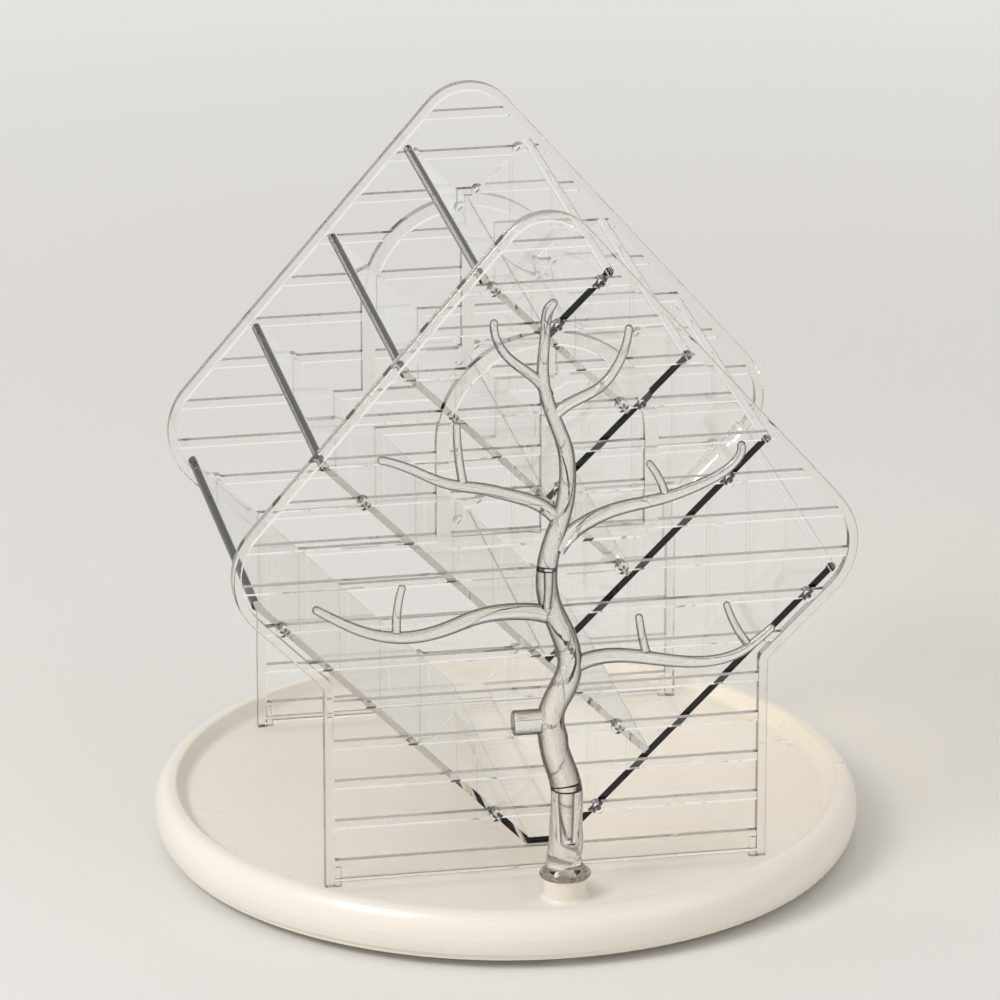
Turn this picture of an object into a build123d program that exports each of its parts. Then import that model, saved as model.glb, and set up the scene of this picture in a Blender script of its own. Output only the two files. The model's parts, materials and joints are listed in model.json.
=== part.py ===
"""Turntable organizer: a clear lattice rack and a clear jewellery tree on a round rotating tray.

Millimetres, +Z up. The origin is the centre of the footprint, on the surface the feet stand on.
The front of the rack, where the tree stands, faces -Y.
"""

from build123d import *
import math
import os

os.makedirs("parts", exist_ok=True)

# ---------------------------------------------------------------- driving dimensions
# Feet and base plate
foot_r = 6.0
foot_flat_r = 3.2
foot_height = 3.5
foot_ring_r = 115.0
foot_count = 4
foot_recess = 0.8
base_r = 127.0
base_plate = 2.4
base_rib_height = 1.6
base_rib_width = 1.8
base_rib_count = 8
base_lip_r = 119.0

# Ball bearing
ball_r = 2.5
ball_count = 14
ball_ring_r = 60.0
ball_gap = 0.25
race_half_width = 5.5
race_height = 2.6
race_lip = 1.4
race_lip_height = 1.5
cage_half_width = 4.4
cage_height = 1.6
pocket_gap = 0.3

# Pivot in the middle
stub_r = 4.5
stub_fit = 0.05
bush_wall = 1.6
bush_flange_r = 8.0
bush_flange = 1.2
hub_wall = 3.0
hub_height = 5.0
washer_r = 8.5
washer_height = 1.0
washer_recess_gap = 0.8
screw_shank_r = 1.5
screw_head_r = 2.9
screw_head_height = 1.7
screw_length = 6.0
screw_slot = 0.8
running_gap = 0.4

# Tray
tray_r = 130.0
skirt_r = 128.6
skirt_wall = 2.4
belly_z = 12.5
rim_crest_r = 124.0
rim_top_r = 122.2
rim_height = 4.8
floor_r = 118.0
floor_z = 17.2
floor_wall = 2.6
tray_rib_height = 2.4
tray_rib_width = 1.6
tray_rib_count = 12
tray_rib_inner_r = 70.0

# Rack panels: a kite with softly rounded corners, on two legs
rack_depth = 160.2
panel_wall = 4.0
band = 3.3
kite_half_width = 122.85
kite_side_z = 136.05
kite_top_z = 277.7
kite_top_round = 19.5
kite_side_round = 26.0
leg_half_span = 80.8
leg_round = 1.6
band_edge_round = 0.9
bar_wall = 2.6
bar_height = 3.2
bar_pitch = 15.33
bar_count = 15
strip_low_z = 19.2
strip_top_z = 27.0
arch_r = 40.0
arch_band = 4.9
arch_spring_z = 183.2
arch_foot_z = 143.9
arch_foot_round = 6.0
mullion = 4.7
leg_peg_r = 1.45
leg_peg_height = 7.6
leg_peg_depth = 5.6
leg_peg_fit = 0.1
leg_peg_wall = 2.4

# Lattice of sloping plates between the panels
plate = 2.5
level_heights = (22.0, 97.3, 159.6, 220.6)
tip_z = 28.4
bead_r = 1.8
bead_gap = 0.7
side_gap = 0.1
groove = 0.6
groove_gap = 0.1
peg_r = 1.15
peg_length = 2.8
peg_fit = 0.08
peg_boss_r = 2.3
peg_hole = 3.1
peg_margin = 2.0

# Jewellery tree in front of the rack
tree_x = 2.2
tree_y = -102.7
post_r = 7.6
post_height = 8.3
post_round = 1.6
spigot_r = 4.0
spigot_length = 12.5
spigot_fit = 0.1
collar_r = 9.3
collar_rim = 2.0
flare_top_z = 33.5
flare_top_r = 5.8
trunk_foot_r = 6.4
trunk_tip_r = 1.65
lower_joint_z = 59.0
upper_joint_z = 143.0
lower_plug = (2.6, 20.0, 3.2, 2.3)
upper_plug = (-4.3, 14.0, 1.8, 1.4)
plug_fit = 0.1
knot_r = 4.6
knot_z = 85.5
knot_reach = 17.0
knot_round = 0.8

# ---------------------------------------------------------------- derived levels
base_low_z = foot_height
base_top_z = base_low_z + base_plate
race_low_z = base_top_z
race_low_top_z = race_low_z + race_height
floor_low_z = floor_z - floor_wall
race_high_z = floor_low_z - race_height
ball_z = (race_low_z + floor_low_z) / 2
skirt_z = base_top_z + running_gap
rim_z = floor_z + rim_height
hub_top_z = base_top_z + hub_height
washer_top_z = skirt_z
washer_low_z = washer_top_z - washer_height
bush_inner_r = stub_r + stub_fit
bush_outer_r = bush_inner_r + bush_wall
panel_y = rack_depth / 2 - panel_wall
bar_tops = [strip_top_z + bar_pitch * (i + 1) for i in range(bar_count)]
bar_centres = [top - bar_height / 2 for top in bar_tops]
post_top_z = floor_z + post_height
post_boss_z = post_top_z - spigot_length - floor_wall / 2
leg_centre_y = panel_y + panel_wall / 2
leg_peg_x = leg_half_span - band - leg_peg_r + 0.2
kite_slope = (kite_top_z - kite_side_z) / kite_half_width
kite_low_z = kite_side_z - kite_half_width + leg_half_span


def save(piece, name):
    """Label one finished piece and write it as a STEP file under that name."""
    piece.label = name
    export_step(piece, f"parts/{name}.step")


# ---------------------------------------------------------------- base and feet
with BuildPart() as base_disc:
    with BuildSketch(Plane.XY.offset(base_low_z)):
        Circle(base_r)
    extrude(amount=base_plate)
    fillet(base_disc.edges().filter_by(GeomType.CIRCLE).sort_by(Axis.Z)[0], radius=base_plate / 3)
    # Ring lip that keeps dust out of the bearing, inside the tray's skirt
    with BuildSketch(Plane.XY.offset(base_top_z)):
        Circle(base_lip_r + base_rib_width)
        Circle(base_lip_r, mode=Mode.SUBTRACT)
    extrude(amount=base_rib_height)
    # Radial ribs from the race seat to the lip
    rib_start_r = ball_ring_r + race_half_width + race_lip
    with BuildSketch(Plane.XY.offset(base_top_z)):
        with PolarLocations((rib_start_r + base_lip_r) / 2, base_rib_count, start_angle=180 / base_rib_count):
            Rectangle(base_lip_r - rib_start_r + base_rib_width, base_rib_width)
    extrude(amount=base_rib_height)
    # Two lips that seat the lower race
    with BuildSketch(Plane.XY.offset(base_top_z)):
        Circle(ball_ring_r + race_half_width + race_lip)
        Circle(ball_ring_r + race_half_width, mode=Mode.SUBTRACT)
        Circle(ball_ring_r - race_half_width)
        Circle(ball_ring_r - race_half_width - race_lip, mode=Mode.SUBTRACT)
    extrude(amount=race_lip_height)
    # Hub for the pivot bush, with the washer's recess below
    with BuildSketch(Plane.XY.offset(base_top_z)):
        Circle(washer_r + hub_wall)
    extrude(amount=hub_height)
    with BuildSketch(Plane.XY.offset(base_low_z)):
        Circle(washer_r + washer_recess_gap)
    extrude(amount=washer_top_z + running_gap / 2 - base_low_z, mode=Mode.SUBTRACT)
    with BuildSketch(Plane.XY.offset(base_low_z)):
        Circle(bush_outer_r + stub_fit)
    extrude(amount=hub_top_z - base_low_z, mode=Mode.SUBTRACT)
    # Recesses for the feet
    with BuildSketch(Plane.XY.offset(base_low_z)):
        with PolarLocations(foot_ring_r, foot_count, start_angle=-90):
            Circle(foot_r + stub_fit)
    extrude(amount=foot_recess, mode=Mode.SUBTRACT)
save(base_disc.part, "base_disc")

with BuildPart() as feet:
    with BuildSketch(Plane.XZ) as foot_profile:
        with BuildLine():
            Line((0, 0), (foot_flat_r, 0))
            dome = RadiusArc((foot_flat_r, 0), (foot_r, foot_height), -foot_height * 1.25)
            Line((foot_r, foot_height), (foot_r, foot_height + foot_recess))
            Line((foot_r, foot_height + foot_recess), (0, foot_height + foot_recess))
            Line((0, foot_height + foot_recess), (0, 0))
        make_face()
    one_foot = revolve(axis=Axis.Z, mode=Mode.PRIVATE)
    with PolarLocations(foot_ring_r, foot_count, start_angle=-90):
        add(one_foot)
save(feet.part, "feet")

# ---------------------------------------------------------------- ball bearing


def race(low_z):
    """Steel ring with a ball groove; the groove is centred on the ball ring."""
    with BuildPart() as ring:
        with BuildSketch(Plane.XY.offset(low_z)):
            Circle(ball_ring_r + race_half_width - stub_fit)
            Circle(ball_ring_r - race_half_width + stub_fit, mode=Mode.SUBTRACT)
        extrude(amount=race_height)
        with BuildSketch(Plane.XZ):
            with Locations((ball_ring_r, ball_z)):
                Circle(ball_r + ball_gap)
        revolve(axis=Axis.Z, mode=Mode.SUBTRACT)
    return ring.part


save(race(race_low_z), "lower_race")
save(race(race_high_z), "upper_race")

with BuildPart() as ball_cage:
    with BuildSketch(Plane.XY.offset(ball_z - cage_height / 2)):
        Circle(ball_ring_r + cage_half_width)
        Circle(ball_ring_r - cage_half_width, mode=Mode.SUBTRACT)
        with PolarLocations(ball_ring_r, ball_count):
            Circle(ball_r + pocket_gap, mode=Mode.SUBTRACT)
    extrude(amount=cage_height)
save(ball_cage.part, "ball_cage")

with BuildPart() as bearing_balls:
    with Locations((0, 0, ball_z)):
        with PolarLocations(ball_ring_r, ball_count):
            Sphere(ball_r)
save(bearing_balls.part, "bearing_balls")

# ---------------------------------------------------------------- pivot
with BuildPart() as pivot_bush:
    with BuildSketch(Plane.XY.offset(washer_top_z + running_gap / 2)):
        Circle(bush_outer_r)
    extrude(amount=hub_top_z - washer_top_z - running_gap / 2)
    with BuildSketch(Plane.XY.offset(hub_top_z)):
        Circle(bush_flange_r)
    extrude(amount=bush_flange)
    with BuildSketch(Plane.XY.offset(base_low_z)):
        Circle(bush_inner_r)
    extrude(amount=floor_low_z - base_low_z, mode=Mode.SUBTRACT)
save(pivot_bush.part, "pivot_bush")

with BuildPart() as pivot_washer:
    with BuildSketch(Plane.XY.offset(washer_low_z)):
        Circle(washer_r)
        Circle(screw_shank_r + stub_fit, mode=Mode.SUBTRACT)
    extrude(amount=washer_height)
save(pivot_washer.part, "pivot_washer")

with BuildPart() as pivot_screw:
    with BuildSketch(Plane.XY.offset(washer_low_z - screw_head_height)):
        Circle(screw_head_r)
    extrude(amount=screw_head_height)
    fillet(pivot_screw.edges().filter_by(GeomType.CIRCLE).sort_by(Axis.Z)[0], radius=screw_head_height / 2)
    with BuildSketch(Plane.XY.offset(washer_low_z)):
        Circle(screw_shank_r)
    extrude(amount=washer_height + screw_length)
    with BuildSketch(Plane.XY.offset(washer_low_z - screw_head_height)):
        Rectangle(2 * screw_head_r - screw_slot * 2, screw_slot)
        Rectangle(screw_slot, 2 * screw_head_r - screw_slot * 2)
    extrude(amount=screw_slot, mode=Mode.SUBTRACT)
save(pivot_screw.part, "pivot_screw")

# ---------------------------------------------------------------- tray
leg_peg_places = [(sx * leg_peg_x, sy * leg_centre_y) for sx in (-1, 1) for sy in (-1, 1)]
skirt_inner_r = skirt_r - skirt_wall

with BuildPart() as tray:
    with BuildSketch(Plane.XZ):
        with BuildLine():
            TangentArc((tray_r, belly_z), (skirt_r, skirt_z), tangent=(0, -1))
            EllipticalCenterArc((rim_crest_r, belly_z), tray_r - rim_crest_r, rim_z - belly_z, 0, arc_size=90)
            FilletPolyline(
                (rim_crest_r, rim_z), (rim_top_r, rim_z), (floor_r, floor_z), (0, floor_z), radius=(1.2, 3.0)
            )
            Line((0, floor_z), (0, floor_low_z))
            Polyline((0, floor_low_z), (skirt_inner_r, floor_low_z), (skirt_inner_r, skirt_z), (skirt_r, skirt_z))
        make_face()
    revolve(axis=Axis.Z)
    # Lips that seat the upper race
    with BuildSketch(Plane.XY.offset(floor_low_z - race_lip_height)):
        Circle(ball_ring_r + race_half_width + race_lip)
        Circle(ball_ring_r + race_half_width, mode=Mode.SUBTRACT)
        Circle(ball_ring_r - race_half_width)
        Circle(ball_ring_r - race_half_width - race_lip, mode=Mode.SUBTRACT)
    extrude(amount=race_lip_height)
    # Radial ribs under the floor, out to the skirt
    with BuildSketch(Plane.XY.offset(floor_low_z - tray_rib_height)):
        with PolarLocations((tray_rib_inner_r + skirt_inner_r) / 2, tray_rib_count, start_angle=180 / tray_rib_count):
            Rectangle(skirt_inner_r - tray_rib_inner_r + 1, tray_rib_width)
    extrude(amount=tray_rib_height)
    # Stub that turns in the pivot bush
    with BuildSketch(Plane.XY.offset(washer_top_z)):
        Circle(stub_r)
    extrude(amount=floor_low_z - washer_top_z)
    # Bosses under the floor that take the leg pegs and the tree's spigot
    with BuildSketch(Plane.XY.offset(floor_z - leg_peg_depth - floor_wall)):
        with Locations(*leg_peg_places):
            Circle(leg_peg_r + leg_peg_wall)
    extrude(amount=leg_peg_depth)
    with BuildSketch(Plane.XY.offset(post_boss_z)):
        with Locations((tree_x, tree_y)):
            Circle(post_r)
    extrude(amount=post_top_z - post_boss_z)
    post_foot = tray.edges().filter_by(GeomType.CIRCLE).filter_by(lambda e: abs(e.radius - post_r) < stub_fit)
    fillet(post_foot.filter_by(lambda e: abs(e.center().Z - floor_z) < stub_fit), radius=post_round)
    # Sockets and screw hole
    with BuildSketch(Plane.XY.offset(floor_z)):
        with Locations(*leg_peg_places):
            Circle(leg_peg_r + leg_peg_fit)
    extrude(amount=-leg_peg_depth - leg_peg_fit, mode=Mode.SUBTRACT)
    with BuildSketch(Plane.XY.offset(post_top_z)):
        with Locations((tree_x, tree_y)):
            Circle(spigot_r + spigot_fit)
    extrude(amount=-spigot_length - spigot_fit, mode=Mode.SUBTRACT)
    with BuildSketch(Plane.XY.offset(washer_top_z)):
        Circle(screw_shank_r + stub_fit)
    extrude(amount=screw_length + stub_fit, mode=Mode.SUBTRACT)
save(tray.part, "tray")

# ---------------------------------------------------------------- lattice geometry
# Each sloping plate is a line at 45 degrees. Side -1 starts at the rack's left edge and runs down to
# the right, side +1 the other way. Its level is the height where the line crosses the middle.
slope_cos = math.sqrt(0.5)
inner_kite_top_z = kite_top_z - band * math.hypot(1, kite_slope)
bead_inset = (bead_r + bead_gap) * slope_cos


def line_z(side, level, x):
    """Height of a plate's centre line at x."""
    return level + side * x


def crossing_x(side, level, rest_level):
    """Where a plate's centre line meets the opposite plate that it rests on."""
    return (rest_level - level) / (2 * side)


def divider_bead_x(side, level):
    """The bead at a divider's outer edge stands just inside the kite's upper band."""
    return side * ((inner_kite_top_z - level) / (kite_slope + 1) - bead_inset)


def wall_bead_x():
    """The trough wall's bead stands just inside the rounded side corner of the kite."""
    half_corner = (math.atan(kite_slope) + math.pi / 4) / 2
    lean = (math.atan(kite_slope) - math.pi / 4) / 2
    reach = kite_side_round / math.sin(half_corner)
    corner_x = kite_half_width - reach * math.cos(lean)
    corner_z = kite_side_z + reach * math.sin(lean)
    radius = kite_side_round - band - bead_r - bead_gap
    offset_z = corner_z - level_heights[0]
    mean = (corner_x + offset_z) / 2
    return mean + math.sqrt(radius**2 / 2 - (corner_x - offset_z) ** 2 / 4)


def peg_heights(low_z, high_z):
    """The lowest and the highest bar that a plate crosses between two heights."""
    crossed = [z for z in bar_centres if low_z + peg_margin < z < high_z - peg_margin]
    return sorted({crossed[0], crossed[-1]})


dividers = {}
for rank in range(1, len(level_heights)):
    dividers[f"left_divider_{rank}"] = (-1, level_heights[rank], level_heights[rank - 1])
    dividers[f"right_divider_{rank}"] = (1, level_heights[rank], level_heights[rank])

peg_places = []
for side, level, rest in dividers.values():
    low_z = line_z(side, level, crossing_x(side, level, rest))
    high_z = line_z(side, level, divider_bead_x(side, level))
    peg_places += [(side * (z - level), z) for z in peg_heights(low_z, high_z)]
wall_pegs = [
    (side * (z - level_heights[0]), z)
    for side in (-1, 1)
    for z in peg_heights(tip_z, line_z(1, level_heights[0], wall_bead_x()))
]

# ---------------------------------------------------------------- rack panels


def panel(outward):
    """One grille panel; outward is -1 for the front and +1 for the back, which mirrors it."""
    inner_face = Plane(origin=(0, outward * panel_y, 0), x_dir=(1, 0, 0), z_dir=(0, -1, 0))
    away = -outward
    with BuildSketch(inner_face) as outline:
        with BuildLine():
            Polyline(
                (0, kite_top_z),
                (kite_half_width, kite_side_z),
                (leg_half_span, kite_low_z),
                (leg_half_span, floor_z),
                (-leg_half_span, floor_z),
                (-leg_half_span, kite_low_z),
                (-kite_half_width, kite_side_z),
                close=True,
            )
        make_face()
        fillet(outline.vertices().sort_by(Axis.Y)[-1], radius=kite_top_round)
        fillet(outline.vertices().group_by(Axis.X)[0] + outline.vertices().group_by(Axis.X)[-1], kite_side_round)
        bends = outline.vertices().filter_by(lambda v: abs(v.Y - kite_low_z) < bar_height)
        fillet(bends.filter_by(lambda v: abs(abs(v.X) - leg_half_span) < bar_height), leg_round)
    with BuildPart() as grille:
        # Band round the kite, with legs below it
        with BuildSketch(inner_face):
            add(outline.sketch_local)
            offset(amount=-band, mode=Mode.SUBTRACT)
            with Locations((0, (floor_z + strip_low_z) / 2 - band)):
                Rectangle(2 * (leg_half_span - band), strip_low_z - floor_z + 2 * band, mode=Mode.SUBTRACT)
        extrude(amount=away * panel_wall)
        front = max(grille.faces().filter_by(Axis.Y).group_by(Axis.Y)[-1 if outward > 0 else 0], key=lambda f: f.area)
        fillet(front.outer_wire().edges(), radius=band_edge_round)
        # Level bars, with a taller strip at the foot
        with BuildSketch(inner_face):
            with Locations(*[(0, z) for z in bar_centres]):
                Rectangle(2 * kite_half_width, bar_height)
            add(outline.sketch_local, mode=Mode.INTERSECT)
            with Locations((0, (strip_low_z + strip_top_z) / 2)):
                Rectangle(2 * leg_half_span - band, strip_top_z - strip_low_z)
        extrude(amount=away * bar_wall)
        # Arched frame with a mullion behind the tree
        with BuildSketch(inner_face) as arch:
            with Locations((0, arch_spring_z)):
                Circle(arch_r)
            with Locations((0, (arch_spring_z + arch_foot_z) / 2)):
                Rectangle(2 * arch_r, arch_spring_z - arch_foot_z)
            fillet(arch.vertices().group_by(Axis.Y)[0], radius=arch_foot_round)
            offset(amount=-arch_band, mode=Mode.SUBTRACT)
            with Locations((0, (arch_spring_z + arch_r + arch_foot_z) / 2)):
                Rectangle(mullion, arch_spring_z + arch_r - arch_foot_z - arch_band)
        extrude(amount=away * panel_wall)
        # Bosses and blind holes for the plates' pegs
        with BuildSketch(inner_face):
            with Locations(*peg_places, *wall_pegs):
                Circle(peg_boss_r)
        extrude(amount=away * panel_wall)
        with BuildSketch(inner_face):
            with Locations(*peg_places, *wall_pegs):
                Circle(peg_r + peg_fit)
        extrude(amount=away * peg_hole, mode=Mode.SUBTRACT)
        # Round pegs beside the legs that plug into the tray
        with BuildSketch(Plane.XY.offset(floor_z - leg_peg_depth)):
            with Locations((-leg_peg_x, outward * leg_centre_y), (leg_peg_x, outward * leg_centre_y)):
                Circle(leg_peg_r)
        extrude(amount=leg_peg_depth + leg_peg_height)
    return grille.part


save(panel(-1), "front_panel")
save(panel(1), "back_panel")

# ---------------------------------------------------------------- lattice plates
plate_y = panel_y - side_gap


def strip(side, level, rest, swell=0.0, mode=Mode.ADD):
    """Sketch of a divider's cross-section; swell widens it for the groove that takes its foot."""
    foot_gap = plate / 2 - groove + (0 if swell else groove_gap)
    foot_x = crossing_x(side, level, rest) + side * foot_gap * slope_cos
    bead_x = divider_bead_x(side, level)
    length = abs(bead_x - foot_x) / slope_cos
    middle_x = (foot_x + bead_x) / 2
    with Locations((middle_x, line_z(side, level, middle_x))):
        Rectangle(length, plate + 2 * swell, rotation=side * 45, mode=mode)


def pegs(places):
    """Round pegs through both ends of a plate, into the panels."""
    with BuildSketch(Plane.XZ) as ends:
        with Locations(*places):
            Circle(peg_r)
    extrude(ends.sketch, amount=panel_y + peg_length, both=True)


def divider(side, level, rest):
    """One sloping plate with a beaded outer edge, four pegs and a groove for the plate above."""
    bead_x = divider_bead_x(side, level)
    low_z = line_z(side, level, crossing_x(side, level, rest))
    with BuildPart() as sheet:
        with BuildSketch(Plane.XZ):
            strip(side, level, rest)
            with Locations((bead_x, line_z(side, level, bead_x))):
                Circle(bead_r)
            for other_side, other_level, other_rest in dividers.values():
                if other_side == -side and other_rest == level:
                    strip(other_side, other_level, other_rest, groove_gap, Mode.SUBTRACT)
        extrude(amount=plate_y, both=True)
        pegs([(side * (z - level), z) for z in peg_heights(low_z, line_z(side, level, bead_x))])
    return sheet.part


for name, (side, level, rest) in dividers.items():
    save(divider(side, level, rest), name)

with BuildPart() as v_trough:
    with BuildSketch(Plane.XZ):
        wall_x = wall_bead_x()
        tip_x = tip_z - level_heights[0]
        for side in (-1, 1):
            middle_x = side * (tip_x + wall_x) / 2
            with Locations((middle_x, line_z(side, level_heights[0], middle_x))):
                Rectangle((wall_x - tip_x) / slope_cos, plate, rotation=side * 45)
            with Locations((side * wall_x, line_z(1, level_heights[0], wall_x))):
                Circle(bead_r)
            with Locations((side * tip_x, tip_z)):
                Circle(plate / 2)
        with Locations((0, tip_z)):
            Rectangle(2 * tip_x, plate)
        strip(*dividers["left_divider_1"], groove_gap, Mode.SUBTRACT)
    extrude(amount=plate_y, both=True)
    pegs(wall_pegs)
save(v_trough.part, "v_trough")

# ---------------------------------------------------------------- jewellery tree
# Centrelines are (x, z) points in the tree's upright plane, each followed by its end radii.
trunk_points = [
    (2.2, 24), (2.5, 44), (2.6, 57), (0.4, 68), (-2.6, 77.5), (-2.8, 88), (1.0, 98), (3.8, 106.5),
    (1.9, 116), (-1.4, 124.5), (-4.0, 132), (-4.8, 140), (-3.8, 149), (-1.0, 158), (1.6, 167.5),
    (2.7, 177), (1.6, 188), (-1.8, 198.5), (-5.2, 208), (-6.2, 218), (-5.9, 227.5), (-4.7, 236), (-2.7, 242),
]
lower_limbs = {
    "left": ([(0, 124), (-9, 127.2), (-18, 128), (-29, 127), (-39.4, 123.6), (-48, 121.4), (-57.5, 121),
              (-68.5, 123.4), (-79, 128.5), (-87, 133.4)], 3.4, 1.6),
    "left_twig": ([(-58.5, 121.5), (-58.4, 130), (-56.6, 139.5)], 1.7, 1.4),
    "right": ([(2, 103.5), (9, 107.4), (18.5, 108.8), (32.6, 106.8), (47, 104.3), (57, 104.3), (66, 107),
               (72, 111.2), (76.5, 115)], 3.1, 1.5),
    "right_twig": ([(31.8, 107), (29.8, 115), (28.6, 122.5)], 1.7, 1.4),
    "right_fork": ([(68.5, 109), (63.5, 117), (60.3, 125)], 1.6, 1.3),
}
upper_limbs = {
    "left": ([(-1, 161.5), (-9, 168.4), (-18.5, 172), (-28.6, 175), (-40, 177.5), (-53.5, 184), (-63.5, 187.8)],
             2.7, 1.5),
    "left_twig": ([(-34.5, 176.5), (-36.3, 188), (-36.9, 198.7)], 1.7, 1.4),
    "right": ([(-1, 150), (4, 156), (11, 160.6), (21, 164.2), (35.8, 166.8), (50, 171.2), (60, 176.4),
               (63.8, 180.2), (65, 185)], 3.0, 1.5),
    "right_twig": ([(37.8, 168), (35.2, 175), (32, 180.2)], 1.6, 1.3),
    "left_top": ([(-4.5, 208), (-10.5, 216), (-18.6, 223), (-22.8, 230), (-23.6, 236)], 2.2, 1.4),
    "right_top": ([(-2.5, 200), (4, 205), (13.5, 209.6), (19.6, 216.5), (22.8, 223.5), (24.3, 231)], 2.3, 1.4),
}


def limb(points, start_r, end_r, stations):
    """Round tapering limb: circles set square to a smooth centreline, and a rounded tip."""
    centreline = Spline(*[(x, tree_y, z) for x, z in points], mode=Mode.PRIVATE)
    sections = []
    for step in range(stations + 1):
        share = step / stations
        with BuildSketch(Plane(origin=centreline @ share, x_dir=(0, 1, 0), z_dir=centreline % share)) as section:
            Circle(start_r + (end_r - start_r) * share)
        sections.append(section.sketch)
    loft(sections)
    with Locations(centreline @ 1):
        Sphere(end_r)


def limb_stations(points):
    """Two circles for each stretch between two points of a centreline."""
    return 2 * (len(points) - 1)


def plug(axis_x, top_z, length, top_r, end_r, fit=0.0, mode=Mode.ADD):
    """Tapered plug, or the bore that takes it, hanging down from a joint of the trunk."""
    with Locations((axis_x, tree_y, top_z - length - fit)):
        Cone(end_r + fit, top_r + fit, length + fit, align=(Align.CENTER, Align.CENTER, Align.MIN), mode=mode)


with BuildPart() as trunk:
    limb(trunk_points, trunk_foot_r, trunk_tip_r, len(trunk_points) - 1)

with BuildPart() as tree_base:
    add(trunk.part)
    split(bisect_by=Plane.XY.offset(lower_joint_z), keep=Keep.BOTTOM)
    split(bisect_by=Plane.XY.offset(post_top_z + collar_rim), keep=Keep.TOP)
    with BuildSketch(Plane.XZ.offset(-tree_y)):
        with BuildLine():
            spigot_x = tree_x + spigot_r
            collar_x = tree_x + collar_r
            Polyline(
                (tree_x, post_top_z - spigot_length), (spigot_x, post_top_z - spigot_length),
                (spigot_x, post_top_z), (collar_x - collar_rim / 2, post_top_z),
            )
            RadiusArc((collar_x - collar_rim / 2, post_top_z), (collar_x - collar_rim / 2, post_top_z + collar_rim),
                      -collar_rim / 2)
            flare = (collar_x - collar_rim / 2, post_top_z + collar_rim)
            TangentArc((tree_x + flare_top_r, flare_top_z), flare, tangent=(0, -1))
            Polyline((tree_x + flare_top_r, flare_top_z), (tree_x, flare_top_z), (tree_x, post_top_z - spigot_length))
        make_face()
    revolve(axis=Axis((tree_x, tree_y, 0), (0, 0, 1)))
    plug(lower_plug[0], lower_joint_z, *lower_plug[1:], plug_fit, Mode.SUBTRACT)
save(tree_base.part, "tree_base")

with BuildPart() as tree_lower:
    add(trunk.part)
    split(bisect_by=Plane.XY.offset(lower_joint_z), keep=Keep.TOP)
    split(bisect_by=Plane.XY.offset(upper_joint_z), keep=Keep.BOTTOM)
    with Locations((0, tree_y, knot_z)):
        Cylinder(knot_r, knot_reach, rotation=(0, -90, 0), align=(Align.CENTER, Align.CENTER, Align.MIN))
    fillet(tree_lower.edges().filter_by(GeomType.CIRCLE).sort_by(Axis.X)[0], radius=knot_round)
    for points, start_r, end_r in lower_limbs.values():
        limb(points, start_r, end_r, limb_stations(points))
    plug(lower_plug[0], lower_joint_z, *lower_plug[1:])
    plug(upper_plug[0], upper_joint_z, *upper_plug[1:], plug_fit, Mode.SUBTRACT)
save(tree_lower.part, "tree_lower")

with BuildPart() as tree_upper:
    add(trunk.part)
    split(bisect_by=Plane.XY.offset(upper_joint_z), keep=Keep.TOP)
    for points, start_r, end_r in upper_limbs.values():
        limb(points, start_r, end_r, limb_stations(points))
    plug(upper_plug[0], upper_joint_z, *upper_plug[1:])
save(tree_upper.part, "tree_upper")
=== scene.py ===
# %% [markdown]
# # A clear lattice rack and a jewellery tree on a turning tray
#
# The real object is a dressing-table organizer. Sloping clear plates stand between two clear grille
# panels, a clear jewellery tree stands in front, and everything rides on a round cream tray that
# turns on a ball bearing.
#
# Every piece here is hard plastic, steel or rubber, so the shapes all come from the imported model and
# stay as they are. This script's work is the finishes, and the plain studio that shows them. Clear
# plastic has no colour of its own to paint: it is seen by what it bends, reflects and darkens, so the
# lamps and the surroundings matter as much as the material.

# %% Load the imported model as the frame
import json
import math

import bpy
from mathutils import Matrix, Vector


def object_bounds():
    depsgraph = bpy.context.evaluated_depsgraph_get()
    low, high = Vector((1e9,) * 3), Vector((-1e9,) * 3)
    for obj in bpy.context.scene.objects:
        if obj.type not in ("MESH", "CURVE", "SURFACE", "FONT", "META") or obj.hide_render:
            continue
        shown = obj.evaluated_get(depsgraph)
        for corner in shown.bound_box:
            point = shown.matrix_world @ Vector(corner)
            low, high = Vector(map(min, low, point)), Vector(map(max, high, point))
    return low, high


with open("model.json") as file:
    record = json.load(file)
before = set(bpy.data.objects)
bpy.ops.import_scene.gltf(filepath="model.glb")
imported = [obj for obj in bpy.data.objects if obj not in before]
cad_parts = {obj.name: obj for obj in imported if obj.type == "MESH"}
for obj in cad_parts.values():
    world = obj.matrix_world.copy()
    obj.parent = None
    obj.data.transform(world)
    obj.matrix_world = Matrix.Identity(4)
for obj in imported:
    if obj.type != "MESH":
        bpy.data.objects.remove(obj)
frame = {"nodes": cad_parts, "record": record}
model_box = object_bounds()
for corner_name, corner in zip(("low corner", "high corner"), model_box):
    print(corner_name, [round(value, 4) for value in corner])

# %% [markdown]
# ## Helpers for node graphs
#
# A procedural material is a small graph of nodes. It could be built by hand in the shader editor, but
# written out it can be read and repeated. The first helper adds a node and fills its sockets, where a
# socket takes either a plain value or another node's output. The others make an empty finish, spread
# a 0 to 1 factor over a range, mix two colours, and close a finish with its last shader.

# %% Node helpers


def add_node(tree, kind, settings=None, **sockets):
    """Adds a node. settings are the node's own options, sockets are values or links by name."""
    node = tree.nodes.new(kind)
    for name, value in (settings or {}).items():
        setattr(node, name, value)
    for name, value in sockets.items():
        socket = node.inputs[name.replace("_", " ")]
        if isinstance(value, bpy.types.NodeSocket):
            tree.links.new(value, socket)
        else:
            socket.default_value = value
    return node


def new_finish(name):
    """An empty node material and its graph."""
    material = bpy.data.materials.new(name)
    material.use_nodes = True
    material.node_tree.nodes.clear()
    return material, material.node_tree


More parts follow.
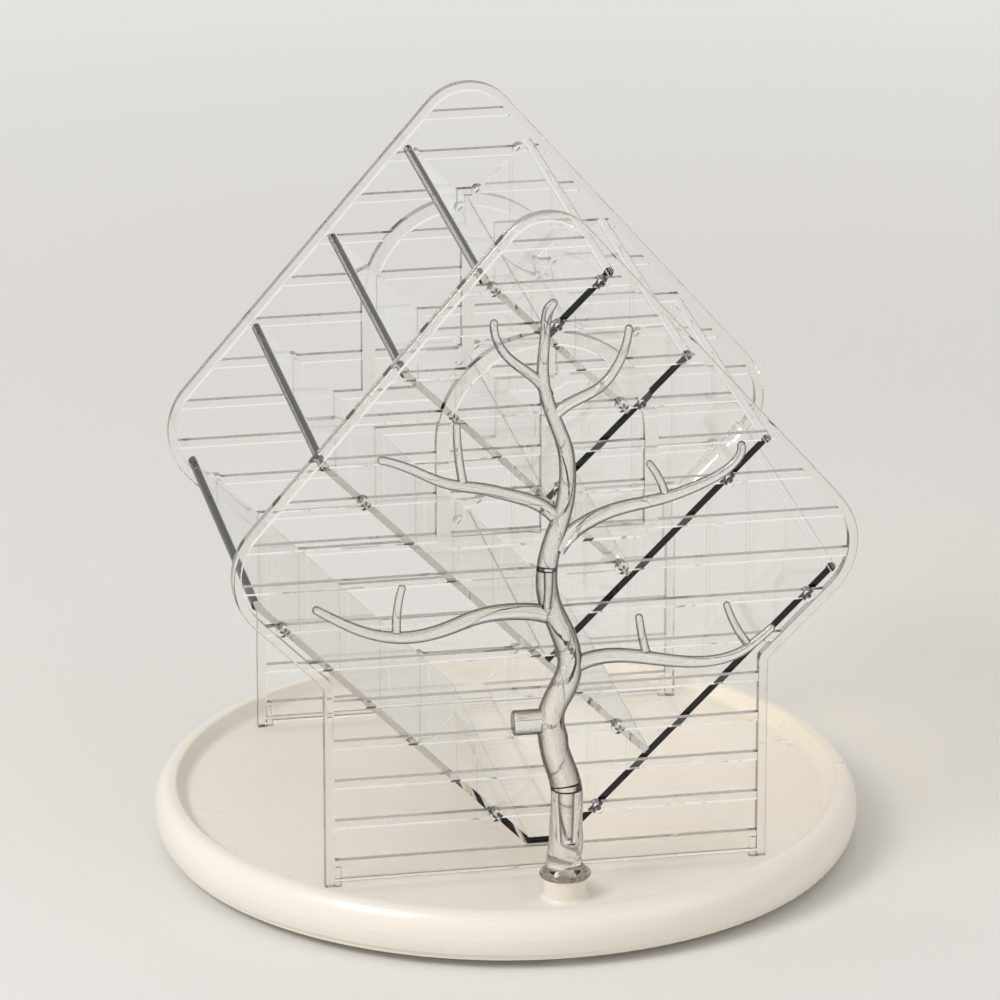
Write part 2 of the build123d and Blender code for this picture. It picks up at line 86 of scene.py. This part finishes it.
def close_finish(tree, shader, volume=None):
    """Joins the last shader of a finish to its output, and what fills the solid, if anything does."""
    output = tree.nodes.new("ShaderNodeOutputMaterial")
    tree.links.new(shader, output.inputs["Surface"])
    if volume is not None:
        tree.links.new(volume, output.inputs["Volume"])


def between(tree, factor, low, high):
    """Spreads a 0 to 1 factor over a range of values."""
    node = add_node(tree, "ShaderNodeMapRange", Value=factor)
    node.inputs["To Min"].default_value = low
    node.inputs["To Max"].default_value = high
    return node.outputs["Result"]


def ramp(tree, value, start, end, low, high):
    """Turns a value smoothly from low to high while it goes from start to end."""
    node = add_node(tree, "ShaderNodeMapRange", {"interpolation_type": "SMOOTHSTEP"}, Value=value)
    node.inputs["From Min"].default_value = start
    node.inputs["From Max"].default_value = end
    node.inputs["To Min"].default_value = low
    node.inputs["To Max"].default_value = high
    return node.outputs["Result"]


def mix_colours(tree, factor, low, high):
    """Mixes two colours by a factor."""
    node = add_node(tree, "ShaderNodeMix", {"data_type": "RGBA"}, Factor=factor)
    colours = [socket for socket in node.inputs if socket.type == "RGBA"]
    for socket, colour in zip(colours, (low, high)):
        socket.default_value = colour
    return [socket for socket in node.outputs if socket.type == "RGBA"][0]


def mix_shaders(tree, factor, low, high):
    """Mixes two shaders by a factor."""
    node = tree.nodes.new("ShaderNodeMixShader")
    for socket, source in zip(node.inputs, (factor, low, high)):
        tree.links.new(source, socket)
    return node.outputs["Shader"]


def place_in(tree):
    """Where a point of the object is, in metres, which stays with the piece when it turns."""
    return add_node(tree, "ShaderNodeTexCoord").outputs["Object"]


print("node helpers ready")

# %% [markdown]
# ## Clear acrylic
#
# The rack and the tree are injection-moulded clear acrylic. Light bends as it enters, by the index of
# 1.49, and where it meets a far face too flatly it is thrown back inside. That draws the black ends
# of the plates and the lines along the bars, and a Principled shader with full transmission does it
# by itself.
#
# Three things are added. Moulded acrylic isn't flat, so one noise ripples its surface and another
# varies its polish a little. A face seen at a flat angle lets less light through, and on top of that
# Layer Weight darkens the colour there as painted shade, so that rims and silhouettes read as dark
# as they do on real clear plastic. And the plastic itself swallows a little light along its length,
# which a Volume Absorption node does.
#
# One function makes four kinds of it. The grille panels have many narrow edges, so their painted edge
# shade is dark and sets in over a wide span of angles. The plates are wide and lie at a flat angle to
# the eye, so theirs is faint. The tree is thick and round: its painted shade is the darkest and sets in
# first, which draws the outline of every branch, and its ripple is drawn out upwards like plastic that
# has run up a mould. The tree's foot takes the same ripple with a lighter painted shade, because the
# pale post under it fills it with light.
#
# Light that clear plastic focuses on the tray is slow and noisy to trace. Rays that look for a lamp
# meet a pale film instead, and the shadows stay light, as they are under real acrylic.

# %% Clear acrylic finish
ACRYLIC_INDEX = 1.49
SHADOW_FILM = (0.86, 0.84, 0.81, 1)
ACRYLIC_FACE = (0.985, 0.983, 0.975, 1)
ACRYLIC_DEPTH_COLOUR = (0.62, 0.57, 0.50, 1)
ACRYLIC_HAZE_SCALE = 210.0
ACRYLIC_ROUGHNESS = (0.0, 0.03)
UPRIGHT_STREAK = 0.18
# Each kind's rim colour is painted shade that darkens its edges and silhouettes at flat angles.
ACRYLIC_KINDS = {
    "panel_acrylic": {
        "rim": (0.07, 0.06, 0.05, 1),
        "rim_span": (0.20, 0.80),
        "ripple_scale": 45.0,
        "ripple_height": 0.00002,
        "density": 6.0,
    },
    "plate_acrylic": {
        "rim": (0.80, 0.79, 0.77, 1),
        "rim_span": (0.50, 1.00),
        "ripple_scale": 30.0,
        "ripple_height": 0.00001,
        "density": 6.0,
    },
    "tree_acrylic": {
        "rim": (0.02, 0.015, 0.01, 1),
        "rim_span": (0.02, 0.55),
        "ripple_scale": 260.0,
        "ripple_height": 0.00016,
        "density": 10.0,
        "flow": UPRIGHT_STREAK,
    },
    "foot_acrylic": {
        "rim": (0.10, 0.09, 0.08, 1),
        "rim_span": (0.20, 0.90),
        "ripple_scale": 260.0,
        "ripple_height": 0.00004,
        "density": 1.0,
        "flow": UPRIGHT_STREAK,
    },
}


def clear_acrylic(name, rim, rim_span, ripple_scale, ripple_height, density, flow=1.0):
    """Polished clear acrylic. At flat angles the rim colour paints shade into it, setting in over
    rim_span.

    Heights are in metres. The density is how strongly its depth swallows light, per metre. A flow
    below 1 draws the ripple out upwards.
    """
    material, tree = new_finish(name)
    place = place_in(tree)
    drawn = add_node(tree, "ShaderNodeMapping", Vector=place, Scale=(1.0, 1.0, flow))
    ripple = add_node(
        tree, "ShaderNodeTexNoise", Vector=drawn.outputs["Vector"], Scale=ripple_scale, Detail=2.0
    )
    haze = add_node(
        tree, "ShaderNodeTexNoise", Vector=place, Scale=ACRYLIC_HAZE_SCALE, Detail=4.0, Roughness=0.6
    )
    surface = add_node(
        tree, "ShaderNodeBump", Height=ripple.outputs["Fac"], Strength=1.0, Distance=ripple_height
    )
    # Painted shade: at flat angles Layer Weight turns the colour towards rim, drawing dark edges.
    flatness = add_node(tree, "ShaderNodeLayerWeight", Blend=0.5).outputs["Facing"]
    painted_edge_shade = ramp(tree, flatness, *rim_span, 0.0, 1.0)
    plastic = add_node(
        tree,
        "ShaderNodeBsdfPrincipled",
        Base_Color=mix_colours(tree, painted_edge_shade, ACRYLIC_FACE, rim),
        Roughness=between(tree, haze.outputs["Fac"], *ACRYLIC_ROUGHNESS),
        IOR=ACRYLIC_INDEX,
        Transmission_Weight=1.0,
        Normal=surface.outputs["Normal"],
    )
    film = add_node(tree, "ShaderNodeBsdfTransparent", Color=SHADOW_FILM)
    shadow_ray = add_node(tree, "ShaderNodeLightPath").outputs["Is Shadow Ray"]
    body = add_node(tree, "ShaderNodeVolumeAbsorption", Color=ACRYLIC_DEPTH_COLOUR, Density=density)
    shader = mix_shaders(tree, shadow_ray, plastic.outputs["BSDF"], film.outputs["BSDF"])
    close_finish(tree, shader, body.outputs["Volume"])
    return material


acrylic = {name: clear_acrylic(name, **kind) for name, kind in ACRYLIC_KINDS.items()}
print("clear acrylic:", ", ".join(acrylic))

# %% [markdown]
# ## Cream plastic of the tray
#
# The tray is glossy cream plastic, and so is the disc under it. One flat colour would look like paint
# on a screen. Moulded plastic drifts a little in shade from place to place, its polish is uneven where
# hands and cloths have been, and its surface has a very fine orange-peel. So a wide noise moves the
# colour, a middle one the roughness, and a fine one the bump. A thin coat gives the gloss.

# %% Cream plastic finish
CREAM_LIGHT = (0.885, 0.835, 0.755, 1)
CREAM_DEEP = (0.845, 0.785, 0.695, 1)
CREAM_DRIFT_SCALE = 11.0
CREAM_POLISH_SCALE = 42.0
CREAM_ROUGHNESS = (0.20, 0.42)
PEEL_SCALE = 900.0
PEEL_HEIGHT = 0.00004
COAT = 0.25
COAT_ROUGHNESS = 0.12


def cream_plastic():
    """Glossy cream plastic, with a drift in shade, an uneven polish and a fine orange-peel."""
    material, tree = new_finish("cream_plastic")
    place = place_in(tree)
    drift = add_node(tree, "ShaderNodeTexNoise", Vector=place, Scale=CREAM_DRIFT_SCALE, Detail=3.0)
    polish = add_node(
        tree, "ShaderNodeTexNoise", Vector=place, Scale=CREAM_POLISH_SCALE, Detail=6.0, Roughness=0.65
    )
    peel = add_node(tree, "ShaderNodeTexNoise", Vector=place, Scale=PEEL_SCALE, Detail=2.0)
    surface = add_node(
        tree, "ShaderNodeBump", Height=peel.outputs["Fac"], Strength=0.35, Distance=PEEL_HEIGHT
    )
    plastic = add_node(
        tree,
        "ShaderNodeBsdfPrincipled",
        Base_Color=mix_colours(tree, drift.outputs["Fac"], CREAM_LIGHT, CREAM_DEEP),
        Roughness=between(tree, polish.outputs["Fac"], *CREAM_ROUGHNESS),
        IOR=1.5,
        Coat_Weight=COAT,
        Coat_Roughness=COAT_ROUGHNESS,
        Normal=surface.outputs["Normal"],
    )
    close_finish(tree, plastic.outputs["BSDF"])
    return material


cream = cream_plastic()
print("cream plastic:", len(cream.node_tree.nodes), "nodes")

# %% [markdown]
# ## Ground steel of the bearing
#
# The two races, the balls, the washer and the screw are steel, out of sight under the tray. A race is
# ground while it spins, which leaves fine rings round the turning axis. A Wave texture in its ring
# shape makes them: it gives a very small bump, and it moves the roughness, so the ring catches the
# light in streaks. A noise adds the faint stains that oil leaves.

# %% Ground steel finish
STEEL_CLEAN = (0.64, 0.64, 0.65, 1)
STEEL_STAINED = (0.50, 0.49, 0.48, 1)
STEEL_STAIN_SCALE = 70.0
STEEL_ROUGHNESS = (0.18, 0.34)
RING_SCALE = 260.0
RING_HEIGHT = 0.00002


def ground_steel():
    """Steel with fine rings round the turning axis and faint stains."""
    material, tree = new_finish("ground_steel")
    place = place_in(tree)
    rings = add_node(
        tree,
        "ShaderNodeTexWave",
        {"wave_type": "RINGS", "rings_direction": "Z"},
        Vector=place,
        Scale=RING_SCALE,
        Distortion=0.4,
        Detail=2.0,
    )
    stain = add_node(tree, "ShaderNodeTexNoise", Vector=place, Scale=STEEL_STAIN_SCALE, Detail=5.0)
    surface = add_node(
        tree, "ShaderNodeBump", Height=rings.outputs["Fac"], Strength=0.4, Distance=RING_HEIGHT
    )
    metal = add_node(
        tree,
        "ShaderNodeBsdfPrincipled",
        Base_Color=mix_colours(tree, stain.outputs["Fac"], STEEL_CLEAN, STEEL_STAINED),
        Metallic=1.0,
        Roughness=between(tree, rings.outputs["Fac"], *STEEL_ROUGHNESS),
        Normal=surface.outputs["Normal"],
    )
    close_finish(tree, metal.outputs["BSDF"])
    return material


steel = ground_steel()
print("ground steel:", len(steel.node_tree.nodes), "nodes")

# %% [markdown]
# ## White bearing plastic
#
# The ball cage and the pivot's bush are a slippery white plastic, matt and slightly waxy. It lets a
# little light into itself, so a small subsurface weight softens its edges. The mould leaves a fine
# sand-like grain, which a noise bump gives.

# %% White plastic finish
WHITE_FRESH = (0.84, 0.84, 0.82, 1)
WHITE_WORN = (0.77, 0.76, 0.72, 1)
WEAR_SCALE = 60.0
WHITE_ROUGHNESS = (0.45, 0.62)
GRAIN_SCALE = 1400.0
GRAIN_HEIGHT = 0.00005


def white_plastic():
    """Matt white plastic with a fine grain from the mould."""
    material, tree = new_finish("white_plastic")
    place = place_in(tree)
    wear = add_node(tree, "ShaderNodeTexNoise", Vector=place, Scale=WEAR_SCALE, Detail=4.0)
    grain = add_node(tree, "ShaderNodeTexNoise", Vector=place, Scale=GRAIN_SCALE, Detail=3.0)
    surface = add_node(
        tree, "ShaderNodeBump", Height=grain.outputs["Fac"], Strength=0.5, Distance=GRAIN_HEIGHT
    )
    plastic = add_node(
        tree,
        "ShaderNodeBsdfPrincipled",
        Base_Color=mix_colours(tree, wear.outputs["Fac"], WHITE_FRESH, WHITE_WORN),
        Roughness=between(tree, wear.outputs["Fac"], *WHITE_ROUGHNESS),
        Subsurface_Weight=0.1,
        Subsurface_Scale=0.002,
        Normal=surface.outputs["Normal"],
    )
    close_finish(tree, plastic.outputs["BSDF"])
    return material


bearing_white = white_plastic()
print("white plastic:", len(bearing_white.node_tree.nodes), "nodes")

# %% [markdown]
# ## Pale rubber of the feet
#
# The four feet are domes of pale soft rubber. Rubber scatters light in every direction, so it has a
# high roughness and no coat, and a little sheen for the dust that it holds. Its skin is pebbled: a
# Voronoi texture gives the pebbles, and a noise the grey that a foot picks up from the table.

# %% Foot rubber finish
RUBBER_CLEAN = (0.78, 0.76, 0.71, 1)
RUBBER_DUSTY = (0.64, 0.61, 0.56, 1)
DUST_SCALE = 160.0
RUBBER_ROUGHNESS = (0.70, 0.88)
PEBBLE_SCALE = 1600.0
PEBBLE_HEIGHT = 0.00006


def foot_rubber():
    """Pale matt rubber with a pebbled skin."""
    material, tree = new_finish("foot_rubber")
    place = place_in(tree)
    dust = add_node(tree, "ShaderNodeTexNoise", Vector=place, Scale=DUST_SCALE, Detail=4.0)
    pebbles = add_node(tree, "ShaderNodeTexVoronoi", Vector=place, Scale=PEBBLE_SCALE)
    surface = add_node(
        tree,
        "ShaderNodeBump",
        Height=pebbles.outputs["Distance"],
        Strength=0.5,
        Distance=PEBBLE_HEIGHT,
    )
    rubber = add_node(
        tree,
        "ShaderNodeBsdfPrincipled",
        Base_Color=mix_colours(tree, dust.outputs["Fac"], RUBBER_CLEAN, RUBBER_DUSTY),
        Roughness=between(tree, dust.outputs["Fac"], *RUBBER_ROUGHNESS),
        Sheen_Weight=0.15,
        Normal=surface.outputs["Normal"],
    )
    close_finish(tree, rubber.outputs["BSDF"])
    return material


rubber = foot_rubber()
print("foot rubber:", len(rubber.node_tree.nodes), "nodes")

# %% [markdown]
# ## Give each piece its finish
#
# The record names a material slot for every piece, so most finishes follow from it. The clear pieces
# then get the acrylic of their own kind: the slot's is the plates' kind, and the panels and the three
# pieces of the tree have others. The disc under the tray shows as a thin cream line in the photograph,
# so it takes the tray's cream.

# %% Finishes on the pieces
SLOT_FINISH = {
    "clear_acrylic": acrylic["plate_acrylic"],
    "cream_plastic": cream,
    "steel": steel,
    "white_plastic": bearing_white,
    "foot_rubber": rubber,
}
OWN_FINISH = {
    "front_panel": acrylic["panel_acrylic"],
    "back_panel": acrylic["panel_acrylic"],
    "tree_base": acrylic["foot_acrylic"],
    "tree_lower": acrylic["tree_acrylic"],
    "tree_upper": acrylic["tree_acrylic"],
    "base_disc": cream,
}

slot_of = {part["node"]: part["material_slot"] for part in frame["record"]["subparts"]}
for name, node in frame["nodes"].items():
    finish = OWN_FINISH.get(name, SLOT_FINISH[slot_of[name]])
    node.data.materials.clear()
    node.data.materials.append(finish)
    print(f"{name:16} {finish.name}")

# %% [markdown]
# ## Camera
#
# The photograph was taken from a little above the table and a little to the left, through a long lens
# from nearly three metres away, which keeps the rack's two panels nearly the same size. The direction
# was found from the tray's ellipse and the panels' corners, and the distance from how much smaller
# the back panel looks than the front one.

# %% Camera
CAMERA_AZIMUTH = math.radians(-10.63)
CAMERA_ELEVATION = math.radians(20.40)
CAMERA_DISTANCE = 2.7904
CAMERA_AIM = Vector((-0.00222, 0, 0.1314))
LENS_MM = 275
SENSOR_MM = 36

back = Vector(
    (
        math.sin(CAMERA_AZIMUTH) * math.cos(CAMERA_ELEVATION),
        -math.cos(CAMERA_AZIMUTH) * math.cos(CAMERA_ELEVATION),
        math.sin(CAMERA_ELEVATION),
    )
)
lens = bpy.data.cameras.new("camera")
lens.lens = LENS_MM
lens.sensor_width = SENSOR_MM
camera = bpy.data.objects.new("camera", lens)
bpy.context.scene.collection.objects.link(camera)
camera.location = CAMERA_AIM + back * CAMERA_DISTANCE
camera.rotation_mode = "QUATERNION"
camera.rotation_quaternion = (-back).to_track_quat("-Z", "Y")
bpy.context.scene.camera = camera
print("camera at", [round(value, 3) for value in camera.location])

# %% [markdown]
# ## Floor and surroundings
#
# The floor is a wide sheet of pale paper. Near the object it is a real matt surface that takes the
# shadow. Further out the lamps no longer reach it, and it would fade to grey, so over a band from
# NEAR_EDGE to FAR_EDGE it turns into its own pale colour, for every ray that looks at it: from the
# camera, in a reflection or through the clear plastic. Light Path tells those rays apart from the ones
# that only carry light.
#
# The world does the same with one difference: overhead it is darker, as a room's ceiling is. The
# camera never looks there, but the faces of the acrylic do, and those dark reflections draw them.

# %% Floor
FLOOR_SIZE = 12
PAPER = (0.83, 0.815, 0.785, 1)
PAPER_SHADE = (0.815, 0.80, 0.77, 1)
BACKDROP = (0.86, 0.85, 0.825, 1)
NEAR_EDGE = 0.35
FAR_EDGE = 1.6
FIBRE_SCALE = 300.0
PAPER_ROUGHNESS = 0.8


def seen_rays(tree):
    """1 for a ray that looks: from the camera, off a gloss or through clear plastic. 0 for the rest."""
    path = add_node(tree, "ShaderNodeLightPath")
    total = path.outputs["Is Camera Ray"]
    for ray in ("Is Glossy Ray", "Is Transmission Ray"):
        node = add_node(tree, "ShaderNodeMath", {"operation": "MAXIMUM"})
        tree.links.new(total, node.inputs[0])
        tree.links.new(path.outputs[ray], node.inputs[1])
        total = node.outputs["Value"]
    return total


def paper_floor():
    """Matt pale paper near the object, and its own plain colour far from it."""
    material, tree = new_finish("paper_floor")
    place = place_in(tree)
    fibre = add_node(tree, "ShaderNodeTexNoise", Vector=place, Scale=FIBRE_SCALE, Detail=4.0)
    matt = add_node(
        tree,
        "ShaderNodeBsdfPrincipled",
        Base_Color=mix_colours(tree, fibre.outputs["Fac"], PAPER, PAPER_SHADE),
        Roughness=PAPER_ROUGHNESS,
    )
    reach = add_node(tree, "ShaderNodeVectorMath", {"operation": "LENGTH"})
    tree.links.new(place, reach.inputs[0])
    far = ramp(tree, reach.outputs["Value"], NEAR_EDGE, FAR_EDGE, 0.0, 1.0)
    share = add_node(tree, "ShaderNodeMath", {"operation": "MULTIPLY"})
    tree.links.new(far, share.inputs[0])
    tree.links.new(seen_rays(tree), share.inputs[1])
    plain = add_node(tree, "ShaderNodeEmission", Color=BACKDROP, Strength=1.0)
    shader = mix_shaders(tree, share.outputs["Value"], matt.outputs["BSDF"], plain.outputs["Emission"])
    close_finish(tree, shader)
    return material


bpy.ops.mesh.primitive_plane_add(size=FLOOR_SIZE)
floor = bpy.context.object
floor.name = "floor"
floor.data.materials.append(paper_floor())
print("floor:", FLOOR_SIZE, "m wide")

# %% [markdown]
# ## World
#
# The world is the soft light from all round. Rays that carry light get an even warm white, and rays
# that look see the backdrop's colour near the horizon, and a darker ceiling overhead.

# %% World
DAYLIGHT = (1.0, 0.985, 0.96, 1)
DAYLIGHT_STRENGTH = 0.62
CEILING = (0.16, 0.15, 0.14, 1)
CEILING_START = 0.45
CEILING_FULL = 0.95

world = bpy.data.worlds.new("studio")
bpy.context.scene.world = world
world.use_nodes = True
world.node_tree.nodes.clear()
sky = world.node_tree
direction = add_node(sky, "ShaderNodeTexCoord").outputs["Generated"]
height = add_node(sky, "ShaderNodeSeparateXYZ", Vector=direction).outputs["Z"]
overhead = ramp(sky, height, CEILING_START, CEILING_FULL, 0.0, 1.0)
surroundings = mix_colours(sky, overhead, BACKDROP, CEILING)
room = add_node(sky, "ShaderNodeBackground", Color=surroundings, Strength=1.0)
light = add_node(sky, "ShaderNodeBackground", Color=DAYLIGHT, Strength=DAYLIGHT_STRENGTH)
shade = mix_shaders(sky, seen_rays(sky), light.outputs["Background"], room.outputs["Background"])
sky.links.new(shade, sky.nodes.new("ShaderNodeOutputWorld").inputs["Surface"])
print("world: daylight at", DAYLIGHT_STRENGTH)

# %% [markdown]
# ## Lamps
#
# In the photograph the light comes from the left and above, and the tray's right rim and the post's
# right side are in shade. A square area lamp there gives that side and the soft edge of the shadow.
# A second, wider and weaker one stands to the right of the camera and keeps the shade open.

# %% Lamps
LAMP_AIM = Vector((0, 0, 0.08))
KEY_PLACE, KEY_SIZE, KEY_WATTS = (-1.35, -0.75, 1.45), 0.8, 20
FILL_PLACE, FILL_SIZE, FILL_WATTS = (1.5, -1.5, 1.2), 1.4, 5


def soft_lamp(name, place, size, watts):
    """A square area lamp that faces the object."""
    data = bpy.data.lights.new(name, "AREA")
    data.size = size
    data.energy = watts
    lamp = bpy.data.objects.new(name, data)
    bpy.context.scene.collection.objects.link(lamp)
    lamp.location = place
    lamp.rotation_euler = (LAMP_AIM - Vector(place)).to_track_quat("-Z", "Y").to_euler()
    return lamp


key = soft_lamp("key", KEY_PLACE, KEY_SIZE, KEY_WATTS)
fill = soft_lamp("fill", FILL_PLACE, FILL_SIZE, FILL_WATTS)
print("lamps:", key.name, key.data.energy, "W,", fill.name, fill.data.energy, "W")

# %% [markdown]
# ## How far light is followed
#
# A ray that looks through the rack passes many faces: two panels, up to eight plates and the tree.
# Each face is one bounce, and where the count runs out the ray turns black. So the count is raised
# until only the ends of the plates stay black, as they are on the real ones.

# %% Render limits
FACES_IN_A_ROW = 32
REFLECTIONS = 8
SHADOW_FACES = 64

scene = bpy.context.scene
scene.view_settings.view_transform = "Standard"
scene.cycles.max_bounces = FACES_IN_A_ROW
scene.cycles.transmission_bounces = FACES_IN_A_ROW
scene.cycles.glossy_bounces = REFLECTIONS
scene.cycles.transparent_max_bounces = SHADOW_FACES
print("bounces:", scene.cycles.max_bounces)

# %% [markdown]
# ## End
#
# Nothing here changes the object's size, and the model's box is printed when the model is loaded.
# This cell only marks the end.

# %% End
print("end of scene")
